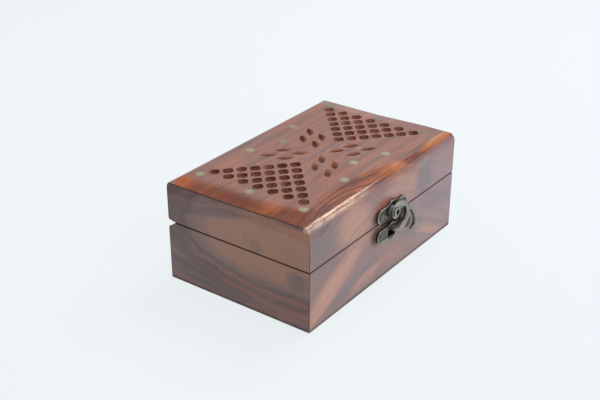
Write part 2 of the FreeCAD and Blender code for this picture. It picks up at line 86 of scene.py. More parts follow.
class Paint:
    """One procedural material, with short ways to add nodes and the place on the box in millimetres."""

    def __init__(self, name, **constants):
        self.material = bpy.data.materials.new(name)
        self.material.use_nodes = True
        self.nodes = self.material.node_tree.nodes
        self.links = self.material.node_tree.links
        self.surface = self.nodes["Principled BSDF"]
        for socket, value in constants.items():
            self.surface.inputs[socket.replace("_", " ")].default_value = value
        self.place = self.nodes.new("ShaderNodeTexCoord")
        scaled = self.nodes.new("ShaderNodeVectorMath")
        scaled.operation = "SCALE"
        scaled.inputs["Scale"].default_value = MM
        self.put(scaled.inputs[0], self.place.outputs["Object"])
        self.x, self.y, self.z = self.parts(scaled.outputs[0])

    def parts(self, vector):
        """The three parts of a vector."""
        split = self.nodes.new("ShaderNodeSeparateXYZ")
        self.put(split.inputs[0], vector)
        return split.outputs

    def put(self, socket, value):
        """Joins a socket to another node's output, or sets it to a constant."""
        if isinstance(value, bpy.types.NodeSocket):
            self.links.new(value, socket)
        else:
            socket.default_value = value

    def calc(self, operation, first, second=0.0):
        node = self.nodes.new("ShaderNodeMath")
        node.operation = operation
        self.put(node.inputs[0], first)
        self.put(node.inputs[1], second)
        return node.outputs[0]

    def add(self, first, second):
        return self.calc("ADD", first, second)

    def minus(self, first, second):
        return self.calc("SUBTRACT", first, second)

    def times(self, first, second):
        return self.calc("MULTIPLY", first, second)

    def larger(self, first, second):
        return self.calc("MAXIMUM", first, second)

    def smaller(self, first, second):
        return self.calc("MINIMUM", first, second)

    def square(self, value):
        return self.calc("POWER", value, 2.0)

    def length(self, across, along):
        """Length of a line from its two parts."""
        return self.calc("SQRT", self.add(self.square(across), self.square(along)))

    def off(self, value, centre):
        """Distance of a coordinate from a centre, always positive."""
        return self.calc("ABSOLUTE", self.minus(value, centre))

    def noise(self, place, grain):
        """Noise from 0 to 1 at a place. A coordinate that is a number is a seed, and isn't scaled."""
        scales, detail, roughness = grain
        point = self.nodes.new("ShaderNodeCombineXYZ")
        for socket, value, scale in zip(point.inputs, place, scales):
            self.put(socket, value if isinstance(value, float) else self.times(value, scale))
        node = self.nodes.new("ShaderNodeTexNoise")
        node.inputs["Scale"].default_value = 1.0
        node.inputs["Detail"].default_value = detail
        node.inputs["Roughness"].default_value = roughness
        self.put(node.inputs["Vector"], point.outputs[0])
        return node.outputs[0]

    def swing(self, noise, size):
        """Noise from 0 to 1 as a swing of half a size either way."""
        return self.times(self.add(noise, -0.5), size)

    def step(self, value, low, high, shape="SMOOTHSTEP"):
        """Rises from 0 at low to 1 at high. With low above high it falls."""
        node = self.nodes.new("ShaderNodeMapRange")
        node.interpolation_type = shape
        rising = low < high
        self.put(node.inputs["Value"], value)
        self.put(node.inputs["From Min"], min(low, high))
        self.put(node.inputs["From Max"], max(low, high))
        self.put(node.inputs["To Min"], 0.0 if rising else 1.0)
        self.put(node.inputs["To Max"], 1.0 if rising else 0.0)
        return node.outputs["Result"]

    def between(self, share, low, high):
        """Value that goes from low to high as a share goes from 0 to 1."""
        return self.add(self.times(share, high - low), low)

    def hump(self, value, centre, reach):
        """1 at a centre, falling smoothly to 0 at a reach on either side."""
        return self.step(self.off(value, centre), reach, 0.0)

    def mix(self, share, under, over, mode="MIX"):
        node = self.nodes.new("ShaderNodeMix")
        node.data_type = "RGBA"
        node.blend_type = mode
        self.put(node.inputs["Factor"], share)
        self.put(node.inputs[6], under)
        self.put(node.inputs[7], over)
        return node.outputs[2]

    def ramp(self, value, reach, stops):
        """Colour by a value from 0 to a reach. stops are (value, colour)."""
        node = self.nodes.new("ShaderNodeValToRGB")
        set_stops(node, [(place / reach, shade) for place, shade in stops])
        self.put(node.inputs[0], self.times(value, 1.0 / reach))
        return node.outputs[0]

    def patch(self, across, up, place, size, lean):
        """1 in the middle of a soft leaning patch, falling to 0 at its edge."""
        along = self.minus(across, place[0])
        above = self.minus(self.minus(up, place[1]), self.times(along, lean))
        far = self.times(self.off(along, 0.0), 1.0 / size[0])
        wide = self.times(self.off(above, 0.0), 1.0 / size[1])
        return self.step(self.length(far, wide), *PATCH_EDGE)

    def stain(self, under, across, up, stains):
        """Lays soft patches of other shades over a colour, each as place, size, lean, shade and strength."""
        for place, size, lean, shade, strength in stains:
            share = self.times(self.patch(across, up, place, size, lean), strength)
            under = self.mix(share, under, shade)
        return under

    def finish(self, tint, roughness, height, depth=1.0):
        """Joins colour, roughness and a bump of a given depth in millimetres to the surface."""
        self.put(self.surface.inputs["Base Color"], tint)
        self.put(self.surface.inputs["Roughness"], roughness)
        self.put(self.surface.inputs["Normal"], self.bump(height, depth))
        return self.material

    def bump(self, height, depth=1.0):
        """Normal of a surface raised by a height, where 1 is a given depth in millimetres."""
        node = self.nodes.new("ShaderNodeBump")
        node.inputs["Strength"].default_value = 1.0
        node.inputs["Distance"].default_value = depth / MM
        self.put(node.inputs["Height"], height)
        return node.outputs[0]


# Wood. A grain is the scales of a noise per millimetre, its detail and its roughness.

LACQUER = {"Coat_Roughness": 0.12, "Coat_IOR": 1.5, "Specular_IOR_Level": 0.2}
LONG_SIDE_LACQUER = {**LACQUER, "Coat_IOR": 1.75}
SMOOTH = 0.42
CHISELLED = 0.87
RIPPLE_IN_LACQUER = 0.25
FINE_GRAIN = ((1.9, 0.06, 0.4), 5.0, 0.6)
BROAD_GRAIN = ((0.28, 0.018, 0.1), 2.0, 0.55)
PORE_GRAIN = ((4.2, 0.42, 1.2), 1.0, 0.55)
SWAY_GRAIN = ((0.03, 0.06, 1.0), 3.0, 0.55)
FINE_STREAKS = [(0.25, colour(178, 164, 158)), (0.5, colour(228, 222, 220)), (0.75, colour(255, 255, 255))]
BROAD_STREAKS = [(0.3, colour(184, 166, 160)), (0.5, colour(236, 232, 230)), (0.7, colour(255, 255, 255))]
STRONG_STREAKS = 0.9
SOFT_STREAKS = 0.6
FAINT_STREAKS = 0.3
STREAK_HEIGHT = 0.012
PORE = colour(52, 26, 20)
PORE_EDGE = (0.62, 0.7)
PORE_SHADE = 0.55
PORE_HEIGHT = -0.02
EDGE_LINE = colour(44, 22, 18)


def streaked(paint, tint, across, along, depth, strength=STRONG_STREAKS):
    """Lays streaks and pores over a colour, along the grain, and gives back their height too."""
    place = (across, along, depth)
    fine = paint.noise(place, FINE_GRAIN)
    broad = paint.noise(place, BROAD_GRAIN)
    pores = paint.step(paint.noise(place, PORE_GRAIN), *PORE_EDGE)
    tint = paint.mix(strength, tint, paint.ramp(fine, 1.0, FINE_STREAKS), "MULTIPLY")
    tint = paint.mix(strength, tint, paint.ramp(broad, 1.0, BROAD_STREAKS), "MULTIPLY")
    tint = paint.mix(paint.times(paint.times(pores, PORE_SHADE), strength), tint, PORE)
    return tint, paint.add(paint.times(fine, STREAK_HEIGHT), paint.times(pores, PORE_HEIGHT))


def lacquered(paint, tint, ripple, bare, slope=0.0, rough=SMOOTH):
    """Clear lacquer over a colour, except where bare is 1. Heights are in millimetres."""
    paint.put(paint.surface.inputs["Coat Weight"], paint.minus(1.0, bare))
    gloss = paint.bump(paint.add(slope, paint.times(ripple, RIPPLE_IN_LACQUER)))
    paint.put(paint.surface.inputs["Coat Normal"], gloss)
    return paint.finish(tint, rough, paint.add(ripple, slope))


def sway(paint, along, across, size, seed):
    """Slow wander of the grain, by up to a size either way."""
    return paint.swing(paint.noise((along, across, seed), SWAY_GRAIN), 2.0 * size)


# Figure of the top. Stains are place, size, lean, shade and strength.

TOP_WOOD = colour(160, 86, 53)
TOP_PINK = colour(145, 87, 66)
TOP_GREY = colour(104, 78, 74)
TOP_ORANGE = colour(178, 96, 44)
TOP_AMBER = colour(208, 134, 76)
TOP_RED = colour(130, 66, 42)
TOP_DEEP = colour(112, 52, 32)
TOP_DARK = colour(74, 38, 28)
TOP_STAINS = [
    ((-72.0, 6.0), (12.0, 38.0), 0.0, TOP_DEEP, 0.75),
    ((-72.0, -36.0), (14.0, 22.0), 0.0, TOP_DEEP, 0.5),
    ((-62.0, 36.0), (20.0, 16.0), 0.0, TOP_RED, 0.5),
    ((-71.0, 43.0), (12.0, 11.0), 0.0, TOP_ORANGE, 0.8),
    ((11.0, -43.5), (18.0, 8.0), 0.0, TOP_ORANGE, 1.0),
    ((17.0, -45.0), (9.0, 5.0), 0.0, TOP_AMBER, 0.7),
    ((31.0, -44.0), (14.0, 10.0), 0.0, TOP_DEEP, 0.5),
    ((54.0, -41.5), (26.0, 2.0), 0.02, TOP_DARK, 0.6),
    ((63.0, -45.4), (27.0, 6.0), 0.05, TOP_AMBER, 1.0),
    ((-10.0, 44.0), (40.0, 4.0), 0.02, TOP_GREY, 0.5),
    ((50.0, -22.0), (34.0, 3.5), -0.25, TOP_GREY, 0.3),
    ((14.0, 0.0), (16.0, 4.0), -0.3, TOP_GREY, 0.5),
]

# Clouds of shade, and the slow wander of the fibres
CLOUD_GRAIN = ((0.035, 0.09, 1.0), 2.0, 0.55)
CLOUD_SEED = 7.0
WOOD_CLOUD = (0.38, 0.62)
GLOW_CLOUD = (0.42, 0.6)
TOP_SWAY = 4.0
TOP_SEED = 3.0
LEFT_WANDER = 0.4
FRONT_WANDER = 0.3
RING_WANDER = 0.2
STAIN_WANDER = 0.5

# Bands at the left end and the front, which slope a little. The front one bows back, and has a gap.
LEFT_BAND = -65.5
LEFT_BLEND = 5.0
LEFT_EDGE = (2.0, -2.5)
LEFT_CALM = 0.4
FIBRE_GRAIN = ((0.7, 0.05, 1.0), 4.0, 0.65)
FIBRE_SEED = 11.0
FIBRE_REACH = 14.0
CORNER_Y = (-20.0, -38.0)
CORNER_SHIFT = -6.0
FRONT_BAND = -33.0
FRONT_BLEND = 3.0
FRONT_EDGE = (2.0, -2.0)
FRONT_BOW = (-28.0, 260.0)
GAP_X = 33.0
GAP_REACH = 15.0
GAP_SHARE = 0.85
BAND_SLOPE = 0.152
MOST_BOW = 9.0
LEFT_HALF_X = (1.0, -1.0)

# Dark growth rings: middle, flatness, place of the crown and strength
RINGS = [
    (-40.0, 105.0, -38.5, 0.85),
    (-36.0, 260.0, -35.3, 0.6),
    (-44.0, 90.0, -42.0, 0.6),
    (-30.0, 200.0, -32.0, 0.4),
]
RING_REACH = 1.4


def arch(paint, centre, flatness):
    """Place across the board of a growth ring that bows towards the back, measured at its crown."""
    rise = paint.times(paint.square(paint.off(paint.x, centre)), 1.0 / flatness)
    return paint.add(paint.y, paint.smaller(rise, MOST_BOW))


def planed_off(paint):
    """How far the ends of the top are planed down."""
    past = paint.larger(paint.add(paint.off(paint.x, 0.0), SLOPE_RUN - half_length), 0.0)
    drop = paint.between(paint.step(paint.y, *SLOPE_FADE, "LINEAR"), *SLOPE_DROPS)
    return paint.times(past, paint.times(drop, 1.0 / SLOPE_RUN))


def sinking(paint, past, half_blend):
    """Drop of a slope of 1 past an edge, rounded for a distance on both sides of it."""
    inside = paint.larger(paint.add(past, half_blend), 0.0)
    blend = paint.square(paint.smaller(inside, 2.0 * half_blend))
    beyond = paint.larger(paint.add(past, -half_blend), 0.0)
    return paint.add(paint.times(blend, 0.25 / half_blend), beyond)


def top_bands(paint, wander):
    """Shares of the left and front bands in the colour, and how far both slope down."""
    x, y = paint.x, paint.y
    corner = paint.times(paint.step(y, *CORNER_Y), CORNER_SHIFT)
    from_left = paint.add(paint.add(x, corner), paint.times(wander, LEFT_WANDER))
    fibres = paint.noise((y, x, FIBRE_SEED), FIBRE_GRAIN)
    ragged = paint.add(from_left, paint.swing(fibres, FIBRE_REACH))
    left = paint.step(ragged, *[LEFT_BAND + edge for edge in LEFT_EDGE])
    band = paint.add(arch(paint, *FRONT_BOW), paint.times(wander, FRONT_WANDER))
    kept = paint.minus(1.0, paint.times(paint.hump(x, GAP_X, GAP_REACH), GAP_SHARE))
    front = paint.times(paint.step(band, *[FRONT_BAND + edge for edge in FRONT_EDGE]), kept)
    left_drop = paint.times(sinking(paint, paint.minus(LEFT_BAND, from_left), LEFT_BLEND), BAND_SLOPE)
    left_drop = paint.minus(left_drop, paint.times(planed_off(paint), paint.step(x, *LEFT_HALF_X)))
    front_drop = paint.times(sinking(paint, paint.minus(FRONT_BAND, band), FRONT_BLEND), kept)
    drop = paint.add(left_drop, paint.times(front_drop, BAND_SLOPE))
    return left, front, drop


def top_figure(paint):
    """Grain along the board, with bands at the left end and the front that fall away a little."""
    x, y = paint.x, paint.y
    wander = sway(paint, x, y, TOP_SWAY, TOP_SEED)
    left, front, drop = top_bands(paint, wander)
    bands = paint.larger(front, left)
    cloud = paint.noise((x, y, CLOUD_SEED), CLOUD_GRAIN)
    tint = paint.mix(paint.step(cloud, *WOOD_CLOUD), TOP_WOOD, TOP_PINK)
    glow = paint.mix(paint.step(cloud, *GLOW_CLOUD), TOP_ORANGE, TOP_RED)
    tint = paint.mix(bands, tint, glow)
    for centre, flatness, place, strength in RINGS:
        ring = paint.add(arch(paint, centre, flatness), paint.times(wander, RING_WANDER))
        tint = paint.mix(paint.times(paint.hump(ring, place, RING_REACH), strength), tint, TOP_DARK)
    tint = paint.stain(tint, x, paint.add(y, paint.times(wander, STAIN_WANDER)), TOP_STAINS)
    calm = paint.minus(STRONG_STREAKS, paint.times(left, LEFT_CALM))
    tint, ripple = streaked(paint, tint, paint.add(y, wander), x, paint.z, calm)
    return tint, ripple, paint.times(drop, -1.0), bands


# Carving. Depths are below the top, and the first of each pair is where a share is 0.

PIT_DARK = colour(92, 54, 44)
PIT_LIGHT = colour(180, 126, 108)
LEAF_WOOD = colour(150, 100, 82)
LEAF_SHADE = colour(78, 44, 36)
CARVED_SHARE = 0.95
FIELD_X = (75.2, 74.6)
FIELD_Y = (44.0, 43.0)
FACE_DEPTH = (0.02, 0.12)
UNDERSIDE_DEPTH = (3.6, 3.2)
LATTICE_SLOPE = 0.9
LATTICE_EDGE = (12.0, 13.5)
CHIP_GRAIN = ((0.9, 0.9, 0.5), 3.0, 0.7)

# Leaves get painted shade on the side that faces back and left, and in their valleys
LEAF_SHADED_SIDE = (0.1, 0.8)
LEAF_CHIPS = (0.38, 0.62)
LEAF_SIDE_SHADE_LEAST = 0.3
LEAF_SIDE_SHADE_MOST = 0.7
VALLEY_DEPTH = (0.25, 1.1)
VALLEY_SHADE = 0.85

# Pits are paler on some chips, further down their sides and to the right, and darker on their floors, which
# is painted shade
PIT_CHIPS = (0.4, 0.66)
PIT_CHIP_SHADE = 0.5
PIT_SIDE_DEPTH = (0.9, 2.6)
PIT_SIDE_SHADE = 0.5
PIT_PATCH_GRAIN = ((0.16, 0.16, 1.0), 2.0, 0.55)
PIT_PATCH_SEED = 5.0
PIT_PATCH_SHADE = 1.1
PIT_RIGHT_X = (8.0, 50.0)
PIT_RIGHT_SHADE = 0.16
PIT_FLOOR_DEPTH = (2.95, 2.4)
PIT_FLOOR_KEEPS = 0.25


def leaf_tint(paint, depth, chips):
    """Colour in the leaf gouges, with painted shade on one side and in the valleys."""
    normal_x, normal_y, _ = paint.parts(paint.place.outputs["Normal"])
    shaded_side = paint.step(paint.minus(normal_y, normal_x), *LEAF_SHADED_SIDE)
    chipped = paint.between(paint.step(chips, *LEAF_CHIPS), LEAF_SIDE_SHADE_LEAST, LEAF_SIDE_SHADE_MOST)
    shaded_side = paint.times(shaded_side, chipped)
    valley = paint.times(paint.step(depth, *VALLEY_DEPTH), VALLEY_SHADE)
    return paint.mix(paint.larger(shaded_side, valley), LEAF_WOOD, LEAF_SHADE)


def pit_tint(paint, depth, chips):
    """Colour in the pits of the lattice, with painted shade on their floors."""
    sides = paint.times(paint.step(depth, *PIT_SIDE_DEPTH), PIT_SIDE_SHADE)
    paler = paint.add(paint.times(paint.step(chips, *PIT_CHIPS), PIT_CHIP_SHADE), sides)
    patchy = paint.noise((paint.x, paint.y, PIT_PATCH_SEED), PIT_PATCH_GRAIN)
    paler = paint.add(paler, paint.swing(patchy, PIT_PATCH_SHADE))
    paler = paint.add(paler, paint.times(paint.step(paint.x, *PIT_RIGHT_X), PIT_RIGHT_SHADE))
    # painted shade on the pit floors
    paler = paint.times(paler, paint.between(paint.step(depth, *PIT_FLOOR_DEPTH), PIT_FLOOR_KEEPS, 1.0))
    return paint.mix(paler, PIT_DARK, PIT_LIGHT)


def carve(paint, tint, depth):
    """Lays the colour of the pits and leaves over a colour, and gives back where they are."""
    x, y = paint.x, paint.y
    inside = paint.times(paint.step(paint.off(y, 0.0), *FIELD_Y), paint.step(paint.off(x, 0.0), *FIELD_X))
    carved = paint.times(paint.step(depth, *FACE_DEPTH), paint.step(depth, *UNDERSIDE_DEPTH))
    carved = paint.times(carved, inside)
    towards_end = paint.times(paint.off(x, PATTERN_X), LATTICE_SLOPE)
    lattice = paint.step(paint.minus(towards_end, paint.off(y, PATTERN_Y)), *LATTICE_EDGE)
    chips = paint.noise((x, y, paint.z), CHIP_GRAIN)
    wood = paint.mix(lattice, leaf_tint(paint, depth, chips), pit_tint(paint, depth, chips))
    return paint.mix(paint.times(carved, CARVED_SHARE), tint, wood), carved


# Edges of the top. The front edge is worn pale at the left, with a painted highlight there too, and matt at
# the right.

# The next colour and share are a painted sheen of pale gloss on the long sides of the top
PAINTED_SHEEN = colour(236, 234, 240)
PAINTED_SHEEN_SHARE = 0.06
WEAR_AND_HIGHLIGHT = colour(226, 198, 172)
WEAR_AND_HIGHLIGHT_SHARE = 0.6
LONG_SIDE_DROP = (0.4, 1.3)
LONG_SIDE_Y = (44.0, 45.0)
END_SKIN = (0.4, 0.1)
# Painted shade in a dark line along the top edge of the ends
END_SHADE_SKIN = (0.7, 0.3)
END_SHADE_DEPTH = (0.7, 0.3)
END_SHADE_SHARE = 0.8
CREST_Y = (-43.4, -44.8)
CREST_DROP = (3.4, 1.6)
STROKE_GRAIN = ((0.12, 1.3, 1.3), 4.0, 0.65)
WEAR_AND_HIGHLIGHT_X = (-8.0, -42.0)
WEAR_AND_HIGHLIGHT_Y = (-44.8, -46.0)
WEAR_AND_HIGHLIGHT_STROKES = (0.34, 0.64)
MATT_X = (-24.0, 4.0)
BLOTCH_STROKES = (0.46, 0.6)
BLOTCH_SHARE = 0.5
CREST_BARE = 0.55
MATT_BARE = 0.4
BANDS_BARE = 0.4


def sides_of_top(paint, tint, depth):
    """Lays the figures of the walls on the sides of the top, with a painted sheen on the long sides and a
    line of painted shade over the ends, and gives back that line.
    """
    below_crown = paint.step(paint.minus(top, paint.z), *LONG_SIDE_DROP)
    long_side = paint.times(below_crown, paint.step(paint.off(paint.y, 0.0), *LONG_SIDE_Y))
    # a little painted sheen of pale gloss on the long sides
    tint = paint.mix(long_side, tint, paint.mix(PAINTED_SHEEN_SHARE, long_side_figure(paint)[0], PAINTED_SHEEN))
    from_end = paint.minus(half_length, paint.off(paint.x, 0.0))
    tint = paint.mix(paint.step(from_end, *END_SKIN), tint, end_figure(paint)[0])
    # painted shade along the top edge of the ends
    line = paint.times(paint.step(from_end, *END_SHADE_SKIN), paint.step(depth, *END_SHADE_DEPTH))
    return paint.mix(paint.times(line, END_SHADE_SHARE), tint, EDGE_LINE), line


def front_edge(paint, tint):
    """Wears the rounded front edge and paints a pale highlight on its left, and gives back how bare of
    lacquer and how matt it is.
    """
    x, y, z = paint.x, paint.y, paint.z
    crest = paint.times(paint.step(y, *CREST_Y), paint.step(paint.minus(top, z), *CREST_DROP))
    strokes = paint.noise((x, y, z), STROKE_GRAIN)
    # pale strokes at the left of the crest: partly wear, partly a painted highlight
    wear_and_highlight = paint.times(paint.times(crest, paint.step(y, *WEAR_AND_HIGHLIGHT_Y)), paint.step(x, *WEAR_AND_HIGHLIGHT_X))
    wear_and_highlight = paint.times(wear_and_highlight, paint.step(strokes, *WEAR_AND_HIGHLIGHT_STROKES))
    tint = paint.mix(paint.times(wear_and_highlight, WEAR_AND_HIGHLIGHT_SHARE), tint, WEAR_AND_HIGHLIGHT)
    matt = paint.times(crest, paint.step(x, *MATT_X))
    blotch = paint.times(matt, paint.step(strokes, *BLOTCH_STROKES))
    tint = paint.mix(paint.times(blotch, BLOTCH_SHARE), tint, TOP_GREY)
    return tint, paint.add(paint.times(crest, CREST_BARE), paint.times(matt, MATT_BARE)), matt


def top_wood():
    """Carved board: its own figure on top, dark pits and leaves, and the figure of the walls on its sides."""
    paint = Paint("rosewood_top", **LACQUER)
    tint, ripple, slope, bands = top_figure(paint)
    depth = paint.minus(paint.minus(top, paint.z), planed_off(paint))
    tint, carved = carve(paint, tint, depth)
    tint, line = sides_of_top(paint, tint, depth)
    tint, rubbed, matt = front_edge(paint, tint)
    dull = paint.larger(rubbed, paint.times(bands, BANDS_BARE))
    bare = paint.larger(paint.larger(carved, line), dull)
    rough = paint.between(paint.larger(carved, matt), SMOOTH, CHISELLED)
    return lacquered(paint, tint, ripple, bare, slope, rough)


# Figure of the long sides

FRONT_WOOD = colour(132, 84, 75)
FRONT_TAN = colour(184, 124, 97)
FRONT_PINK = colour(166, 98, 84)
FRONT_GREY = colour(102, 80, 84)
FRONT_MAUVE = colour(138, 98, 104)
FRONT_DEEP = colour(112, 68, 62)
FRONT_STAINS = [
    ((-64.0, 50.0), (17.0, 17.0), 0.0, FRONT_GREY, 0.75),
    ((58.0, 32.0), (44.0, 44.0), 0.0, FRONT_MAUVE, 0.9),
    ((-34.0, 49.0), (22.0, 18.0), -0.1, FRONT_TAN, 0.85),
    ((16.0, 52.0), (24.0, 17.0), -0.1, FRONT_TAN, 0.7),
    ((41.0, 47.0), (12.0, 15.0), -0.2, FRONT_GREY, 0.8),
    ((-64.0, 31.0), (22.0, 7.0), 0.35, FRONT_GREY, 0.5),
    ((-57.0, 17.5), (46.0, 12.0), 0.55, FRONT_TAN, 1.0),
    ((-36.0, 12.0), (38.0, 5.0), 0.3, FRONT_GREY, 0.9),
    ((-22.0, 8.0), (22.0, 6.0), 0.15, FRONT_TAN, 0.8),
    ((8.0, 11.0), (20.0, 8.0), -0.2, FRONT_PINK, 0.6),
    ((-8.0, 3.0), (50.0, 9.0), 0.0, FRONT_DEEP, 0.5),
    ((28.0, 16.0), (28.0, 4.0), -0.4, FRONT_GREY, 0.5),
    ((50.0, 8.5), (22.0, 3.6), -0.42, FRONT_TAN, 0.8),
    ((56.0, 28.0), (28.0, 10.0), -0.15, FRONT_GREY, 0.6),
]
PLUME_X = -4.0
PLUME_ROUNDING = 64.0
PLUME_SLOPE = 0.42
LONG_SIDE_SWAY = 5.0
LONG_SIDE_WANDER = 0.6

# Figure of the ends: bands by their distance from a heart, which is squeezed by a share each way

HEART_Y = -28.0
HEART_Z = 41.5
HEART_WIDE = 0.28
HEART_ABOVE = 0.6
HEART_BELOW = 0.8
HEART_EDGE = (10.0, 20.0)
END_HEART = colour(147, 99, 76)
END_DARK = colour(96, 70, 66)
END_RED = colour(146, 88, 76)
END_GREY = colour(122, 90, 84)
END_MAUVE = colour(120, 92, 94)
END_BANDS = [
    (0.0, END_HEART),
    (12.0, END_HEART),
    (16.5, END_GREY),
    (18.5, END_DARK),
    (20.5, END_RED),
    (23.0, END_DARK),
    (26.0, END_RED),
    (29.0, END_GREY),
    (32.0, END_DARK),
    (36.0, END_RED),
]
END_REACH = 40.0
END_STAINS = [
    ((36.0, 44.0), (24.0, 26.0), 0.0, END_GREY, 0.6),
    ((17.0, 53.0), (34.0, 4.5), -0.23, END_DARK, 0.8),
    ((-42.0, 30.0), (11.0, 8.0), 0.0, END_DARK, 0.8),
    ((-13.5, 42.0), (6.0, 6.5), 0.0, END_DARK, 0.5),
    ((-38.0, 62.5), (14.0, 2.5), 0.0, END_DARK, 0.6),
    ((40.0, 16.0), (26.0, 22.0), 0.0, END_MAUVE, 0.6),
    ((-24.0, 4.5), (30.0, 5.0), 0.0, END_RED, 0.7),
]
END_SWAY = 4.5
END_WANDER = 0.5


def long_side_figure(paint):
    """Plume that peaks near the middle, mirrored on the back so that it reads the same from outside."""
    facing = paint.calc("SIGN", paint.y)
    along = paint.times(paint.times(paint.x, facing), -1.0)
    wander = sway(paint, along, paint.z, LONG_SIDE_SWAY, facing)
    up = paint.add(paint.z, paint.times(wander, LONG_SIDE_WANDER))
    tint = paint.stain(FRONT_WOOD, along, up, FRONT_STAINS)
    bend = paint.calc("SQRT", paint.add(paint.square(paint.off(along, PLUME_X)), PLUME_ROUNDING))
    across = paint.add(paint.add(paint.z, paint.times(bend, PLUME_SLOPE)), wander)
    return streaked(paint, tint, across, along, paint.y, SOFT_STREAKS)


def end_figure(paint):
    """Bands nested round a pale heart near the front corner of the left end."""
    facing = paint.calc("SIGN", paint.x)
    along = paint.times(paint.times(paint.y, facing), -1.0)
    wander = sway(paint, along, paint.z, END_SWAY, facing)
    above = paint.times(paint.larger(paint.add(paint.z, -HEART_Z), 0.0), HEART_ABOVE)
    below = paint.times(paint.larger(paint.minus(HEART_Z, paint.z), 0.0), HEART_BELOW)
    wide = paint.times(paint.off(along, HEART_Y), HEART_WIDE)
    across = paint.add(paint.length(wide, paint.add(above, below)), wander)
    tint = paint.ramp(across, END_REACH, END_BANDS)
    tint = paint.stain(tint, along, paint.add(paint.z, paint.times(wander, END_WANDER)), END_STAINS)
    calm = paint.between(paint.step(across, *HEART_EDGE), FAINT_STREAKS, STRONG_STREAKS)
    return streaked(paint, tint, across, along, paint.x, calm)


# Painted shade and painted reflection round the latch: deep colour, as the polished face mirrors the latch
# there instead of the bright room

LATCH_RED = colour(136, 70, 48)
LATCH_BROWN = colour(80, 47, 35)
LATCH_DARK = colour(44, 26, 22)
LATCH_SHADE_PATCHES = [
    ((-3.0, 46.5), (14.5, 7.5), -0.15, LATCH_RED, 0.85),
    ((-11.8, 42.5), (6.4, 6.8), 0.0, LATCH_BROWN, 0.85),
    ((-11.0, 31.0), (8.6, 8.4), 0.0, LATCH_BROWN, 1.0),
    ((1.0, 35.8), (15.0, 4.6), -0.1, LATCH_DARK, 1.0),
    ((15.0, 35.0), (7.5, 5.0), 0.0, LATCH_BROWN, 0.8),
]
FACE_SKIN = (1.0, 0.5)

# Pocket behind the keeper's window, painted nearly black as shadow, with depths behind the front face
POCKET_SHADOW = colour(12, 9, 8)
POCKET_FRONT = (0.1, 0.4)
POCKET_BACK = (6.0, 5.0)
POCKET_REACH_X = 7.0
POCKET_REACH_Z = 5.5
POCKET_EDGE = (0.0, 0.1)

# Dark lines at the mitres and along the seam, with depths into the outer faces
MITRE_LINE = (0.35, 0.1)
OUTER_SKIN = (1.2, 0.5)
SEAM_REACH = 0.9
LINE_SHARE = 0.9


def latch_painted_shade(paint, tint):
    """Painted shade and reflection round the latch on the front, and how far it hides the lacquer's pale
    gloss.
    """
    front = paint.step(paint.minus(paint.y, front_face), *FACE_SKIN)
    share = 0.0
    for place, size, lean, shade, strength in LATCH_SHADE_PATCHES:
        latch_shade = paint.times(paint.patch(paint.x, paint.z, place, size, lean), front)
        latch_shade = paint.times(latch_shade, strength)
        tint = paint.mix(latch_shade, tint, shade)
        share = paint.larger(share, latch_shade)
    return tint, share


def window_pocket(paint):
    """1 inside the pocket behind the keeper's window."""
    behind = paint.minus(paint.y, front_face)
    near_x = paint.hump(paint.x, WINDOW_X, POCKET_REACH_X)
    near_z = paint.hump(paint.z, WINDOW_Z, POCKET_REACH_Z)
    pocket = paint.times(paint.step(behind, *POCKET_FRONT), paint.step(behind, *POCKET_BACK))
    return paint.times(pocket, paint.step(paint.times(near_x, near_z), *POCKET_EDGE))


def wall_wood(name, figure, lacquer):
    """Board of a wall, dark along the seam and in a hairline at each mitre; the long sides also get painted
    shade and reflection round the latch, and a painted shadow in the keeper's pocket.
    """
    paint = Paint(name, **lacquer)
    tint, ripple = figure(paint)
    from_end = paint.minus(half_length, paint.off(paint.x, 0.0))
    from_long_side = paint.minus(half_width, paint.off(paint.y, 0.0))
    bare = 0.0
    to_mitre = from_long_side
    if figure is long_side_figure:
        to_mitre = from_end
        # painted shade and reflection round the latch
        tint, bare = latch_painted_shade(paint, tint)
        pocket = window_pocket(paint)
        # painted shadow in the pocket behind the keeper's window
        tint = paint.mix(pocket, tint, POCKET_SHADOW)
        bare = paint.larger(bare, pocket)
    outer = paint.larger(paint.step(from_end, *OUTER_SKIN), paint.step(from_long_side, *OUTER_SKIN))
    seam_line = paint.times(paint.hump(paint.z, seam, SEAM_REACH), outer)
    line = paint.larger(paint.step(to_mitre, *MITRE_LINE), seam_line)
    tint = paint.mix(paint.times(line, LINE_SHARE), tint, EDGE_LINE)
    return lacquered(paint, tint, ripple, paint.larger(line, bare))


# Bottom board

BOTTOM_WOOD = colour(124, 108, 100)
BOTTOM_ROUGHNESS = 0.7
BOTTOM_BUMP = 2.0


def bottom_wood():
    """Thin bare board under the walls, greyer than the rest."""
    paint = Paint("bottom_board", Specular_IOR_Level=0.3)
    tint, ripple = streaked(paint, BOTTOM_WOOD, paint.y, paint.x, paint.z)
    return paint.finish(tint, BOTTOM_ROUGHNESS, ripple, BOTTOM_BUMP)


# Metal. Shades are bright, dull and deep.

BRONZE = (colour(168, 165, 157), colour(122, 120, 115), colour(34, 32, 29))
BRONZE_ROUGHNESS = 0.28
BRONZE_SHADE_REACH = 0.85
SCREW_METAL = (colour(146, 144, 134), colour(106, 104, 96), colour(44, 42, 36))
HINGE_BRASS = (colour(190, 160, 96), colour(150, 122, 70), colour(70, 54, 32))
PLATED_ROUGHNESS = 0.3
WEAR_GRAIN = ((0.5, 0.5, 0.5), 4.0, 0.6)
WEAR_EDGE = (0.35, 0.65)
SPECK_GRAIN = ((3.2, 3.2, 3.2), 3.0, 0.6)
SPECK_EDGE = (0.52, 0.72)
SPECK_SHARE = 0.5
SPECK_ROUGHNESS = 0.25
SPECK_BUMP = 0.02
